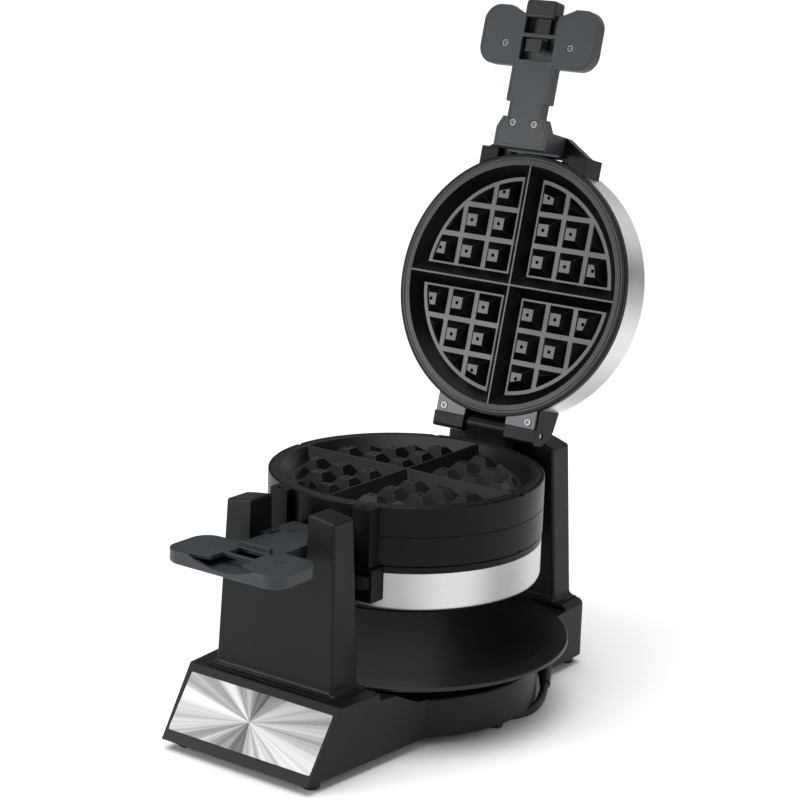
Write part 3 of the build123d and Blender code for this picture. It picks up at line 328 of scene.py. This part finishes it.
def spun_panel(centre, normal_axis):
    """Front plate: steel brushed in circles about its middle, so that light fans out from there, with
    paler sectors of painted reflection.
    """
    g = Graph("spun_steel_panel")
    offset = g.vector_math("SUBTRACT", g.object, tuple(centre))
    rings = g.drifted(g.combine(g.vector_math("LENGTH", offset)), 0.010)
    fine = g.noise(6500.0, 3.0, rings, 0.7)
    broad = g.noise(1300.0, 2.0, rings)
    # painted reflection: faint paler sectors fanning out from the middle stand in for light on the
    # spun steel
    angle = g.angle_about(offset, normal_axis)
    around = g.combine(g.math("COSINE", angle), g.math("SINE", angle))
    painted_reflection_sector = g.noise(2.6, 4.0, around, 0.65)
    colour = g.mix(g.span(fine, 0.3, 0.7), (0.115, 0.115, 0.116, 1), (0.165, 0.165, 0.165, 1))
    # painted reflection: the sectors lighten the plate towards a paler steel colour
    colour = g.mix(g.span(painted_reflection_sector, 0.42, 0.60), colour, (0.36, 0.36, 0.355, 1))
    roughness = g.math("ADD", g.span(fine, 0.25, 0.75, 0.31, 0.42), g.math("MULTIPLY", broad, 0.05))
    normal = g.bump(fine, 0.10, 0.00004, g.soft_edges(0.0004))
    g.brush_round(offset, normal_axis)
    return g.finish(colour, roughness, normal, metallic=1.0, Anisotropic=0.86)


def nonstick(name, centre, axis, flat_shine, side_shine, painted_sheen_tone=0.026):
    """Black non-stick coating: faces across the plate's axis get a paler painted sheen, the rest is
    deep black.
    """
    g = Graph(name)
    flow = g.noise(14.0, 4.0)
    speck = g.span(g.noise(1500.0, 2.0), 0.62, 0.74)
    facing = g.math("ABSOLUTE", g.vector_math("DOT_PRODUCT", g.normal, tuple(axis)))
    offset = g.vector_math("SUBTRACT", g.object, tuple(centre))
    reach = g.vector_math("LENGTH", g.vector_math("CROSS_PRODUCT", offset, tuple(axis)))
    # the painted sheen is weaker on the rim outside the cavity's edge than on the pattern inside it
    inside = g.span(reach, 0.0948, 0.0956, 1.0, 0.45)
    flat = g.math("MULTIPLY", g.span(facing, 0.90, 0.985), inside)
    colour = g.mix(g.span(flow, 0.3, 0.7), (0.0012, 0.0013, 0.0014, 1), (0.0024, 0.0025, 0.0027, 1))
    painted_sheen = g.mix(g.math("MULTIPLY", speck, 0.6), (painted_sheen_tone, painted_sheen_tone * 1.04, painted_sheen_tone * 1.08, 1),
                      (painted_sheen_tone * 2.2, painted_sheen_tone * 2.3, painted_sheen_tone * 2.4, 1))    # specks of bare metal
    # painted sheen: faces across the plate's axis are made paler, standing in for reflected light
    colour = g.mix(flat, colour, painted_sheen)
    # painted highlight: paler colour along edges, standing in for light caught on the rib edges
    colour = g.mix(g.math("MULTIPLY", g.edges(0.0008), 0.30), colour, (0.060, 0.064, 0.068, 1))
    roughness = g.span(flow, 0.25, 0.75, 0.34, 0.42)
    g.link(g.span(flat, 0.0, 1.0, side_shine, flat_shine), g.shader.inputs["Specular IOR Level"])
    normal = g.bump(g.noise(650.0, 2.0), 0.16, 0.00012, g.soft_edges(0.0004))
    return g.finish(colour, roughness, normal)


def satin_sheet(name, tone, rough):
    """Satin black coating on the pressed tray."""
    g = Graph(name)
    flow = g.noise(6.0, 5.0)
    scuff = g.noise(60.0, 5.0, roughness=0.7)
    colour = g.mix(g.span(flow, 0.3, 0.7), (tone * 0.85, tone * 0.85, tone * 0.87, 1),
                   (tone * 1.2, tone * 1.2, tone * 1.22, 1))
    # painted highlight: paler colour along edges, standing in for light caught on them
    colour = g.mix(g.math("MULTIPLY", g.edges(0.0010), 0.4), colour, (0.05, 0.05, 0.052, 1))
    roughness = g.math("ADD", g.span(flow, 0.25, 0.75, rough - 0.04, rough + 0.04),
                       g.math("MULTIPLY", g.span(scuff, 0.55, 0.8), 0.08))
    normal = g.bump(g.voronoi(1100.0), 0.08, 0.00006, g.soft_edges(0.0006))
    return g.finish(colour, roughness, normal, Specular_IOR_Level=0.30)


def plain_metal(name, tone, rough, stain=0.15, metallic=1.0):
    """Machined, rolled or heat-stained metal with fine scratches."""
    g = Graph(name)
    flow = g.noise(40.0, 4.0)
    scratch = g.noise(900.0, 4.0, roughness=0.7)
    darker = scaled(tone, 0.6)
    colour = g.mix(g.math("MULTIPLY", g.span(flow, 0.35, 0.75), stain * 3), (*tone, 1), darker)
    colour = g.mix(g.math("MULTIPLY", g.span(scratch, 0.55, 0.75), 0.2), colour, darker)
    roughness = g.span(scratch, 0.3, 0.7, rough - 0.06, rough + 0.08)
    normal = g.bump(scratch, 0.08, 0.00006, g.soft_edges(0.0003))
    return g.finish(colour, roughness, normal, metallic=metallic)


def soft_rubber(name, tone):
    """Matt black rubber or flexible PVC."""
    g = Graph(name)
    flow = g.noise(25.0, 4.0)
    colour = g.mix(g.span(flow, 0.3, 0.7), (tone * 0.85, tone * 0.85, tone * 0.85, 1),
                   (tone * 1.3, tone * 1.3, tone * 1.3, 1))
    roughness = g.span(flow, 0.25, 0.75, 0.50, 0.62)
    normal = g.bump(g.voronoi(1300.0), 0.10, 0.00006, g.soft_edges(0.0004))
    return g.finish(colour, roughness, normal, Specular_IOR_Level=0.4)


# ---------------------------------------------------------------- which piece gets which
def drawn(x, y, z):
    """A point of the drawing, in millimetres about the head's centre, in the stored frame."""
    return Vector((x / 1000, y / 1000 + SHIFT_Y, z / 1000))


def paint(names, material):
    """Gives the named CAD nodes one material."""
    for name in names:
        mesh = nodes[name].data
        mesh.materials.clear()
        mesh.materials.append(material)


def both(*names):
    """Names of the upper and lower lids' nodes."""
    return [f"{side}_{name}" for side in ("upper", "lower") for name in names]


def paint_everything():
    """Gives every CAD node its material."""
    black = (0.0044, 0.0058, 0.0062)
    housing = moulded_plastic("black_housing", black, 0.36, shine=0.18)
    handles = moulded_plastic("black_handle", (0.0165, 0.0215, 0.0250), 0.42, shine=0.42)
    band = moulded_plastic("black_head_band", (0.0030, 0.0034, 0.0036), 0.34, shine=0.12)
    paint(["base_shell", "front_fork", "rear_tower", "tower_cap"], housing)
    paint(["bottom_cover"], moulded_plastic("black_underside", black, 0.52))
    paint(["middle_ring"] + both("lid_ring", "hinge_bracket", "front_bracket"), band)
    paint(both("handle_shell", "handle_plate"), handles)
    paint(["latch_button"], moulded_plastic("black_latch", (0.012, 0.013, 0.014), 0.35))
    paint(["neck_saddle", "shaft_bush", "terminal_block"],
          moulded_plastic("bearing_plastic", (0.016, 0.017, 0.018), 0.45))

    upright = (0.0, 0.0, 1.0)
    opened = Matrix.Rotation(OPEN_ANGLE, 3, "X")
    open_axis = opened @ Vector(upright)
    open_centre = HINGE + opened @ (drawn(0, 0, 200) - HINGE)
    paint(["upper_lid_cover"],
          brushed_ring("brushed_upper_cover", open_centre, open_axis, (0.70, 0.70, 0.695)))
    paint(["lower_lid_cover"],
          brushed_ring("brushed_lower_cover", HEAD, upright, (0.60, 0.60, 0.595)))
    low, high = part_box("front_panel")
    panel_axis = (0.0, -math.cos(PANEL_LEAN), math.sin(PANEL_LEAN))
    paint(["front_panel"], spun_panel((low + high) / 2, panel_axis))

    # the open lid's plate faces the view and catches the key light; the level ones lie edge on
    paint(["middle_upper_plate", "middle_lower_plate", "lower_grid_plate"],
          nonstick("nonstick_level", HEAD, upright, 0.36, 0.20, 0.006))
    paint(["upper_grid_plate"], nonstick("nonstick_open", open_centre, open_axis, 0.55, 0.07))
    paint(["drip_tray"], satin_sheet("satin_tray", 0.008, 0.34))
    paint(both("hinge_plate"),
          plain_metal("grey_hinge_plate", (0.105, 0.112, 0.118), 0.45, metallic=0.3))
    paint(both("hinge_screws", "handle_screws") + ["cover_screws"],
          plain_metal("blackened_screw", (0.16, 0.16, 0.165), 0.35))
    paint(["flip_shaft", "shaft_ring", "thermostat", "thermal_fuse"] + both("hinge_pin"),
          plain_metal("machined_steel", (0.50, 0.49, 0.48), 0.28))
    paint(["middle_heater"] + both("heater"),
          plain_metal("heat_stained_sheath", (0.30, 0.26, 0.22), 0.42, stain=0.3))
    paint(both("heat_shield"), plain_metal("rolled_aluminium", (0.80, 0.80, 0.81), 0.22))
    paint(["rubber_feet"], soft_rubber("foot_rubber", 0.010))
    paint(["strain_relief", "power_plug", "mains_harness"], soft_rubber("moulded_pvc", 0.011))


# ---------------------------------------------------------------- cord
def add_cord():
    """The mains cord: round the drum, under the base, then its coil behind it and the plug."""
    route = [
        (89.5, 69.5, 10.0), (95.0, 58.5, 7.0), (99.5, 45.5, 4.2), (102.0, 29.0, 3.3),
        (97.0, 13.0, 3.3), (83.5, 1.5, 3.3), (62.0, -2.0, 3.3), (36.0, 6.0, 3.3),
        (17.0, 36.0, 3.3), (9.0, 82.0, 3.3), (8.0, 128.0, 3.3), (-9.0, 170.0, 3.3),
        (-9.0, 200.0, 3.3),
    ]
    tail = [(-30.0, 251.0, 15.5), (-43.0, 259.0, 12.0), (-58.0, 263.0, 10.0)]

    points = [drawn(*place) for place in route]
    for step in range(int(POINTS_PER_TURN * (COIL_TURNS + COIL_LAST_PART)) + 1):
        wound = step / POINTS_PER_TURN
        angle = 2 * math.pi * wound
        radius = COIL_RADIUS + COIL_WOBBLE * math.sin(2.3 * angle)
        height = COIL_LIE + COIL_PITCH * min(wound, COIL_TURNS - 1)
        around = Vector((radius * math.cos(angle), radius * math.sin(angle), height))
        points.append(COIL_CENTRE + around)
    points += [drawn(*place) for place in tail]

    data = bpy.data.curves.new("mains_cord", "CURVE")
    data.dimensions = "3D"
    data.bevel_depth = CORD_RADIUS
    data.bevel_resolution = 6
    data.resolution_u = 10
    data.use_fill_caps = True
    spline = data.splines.new("NURBS")
    spline.points.add(len(points) - 1)
    for point, place in zip(spline.points, points):
        point.co = (*place, 1.0)
    spline.order_u = 3
    spline.use_endpoint_u = True
    cord = bpy.data.objects.new("mains_cord", data)
    bpy.context.scene.collection.objects.link(cord)
    data.materials.append(soft_rubber("cord_jacket", 0.010))
    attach(cord, "base")
    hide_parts("power_cord", "cord_coil")


add_camera()
add_cord()
add_studio()
paint_everything()
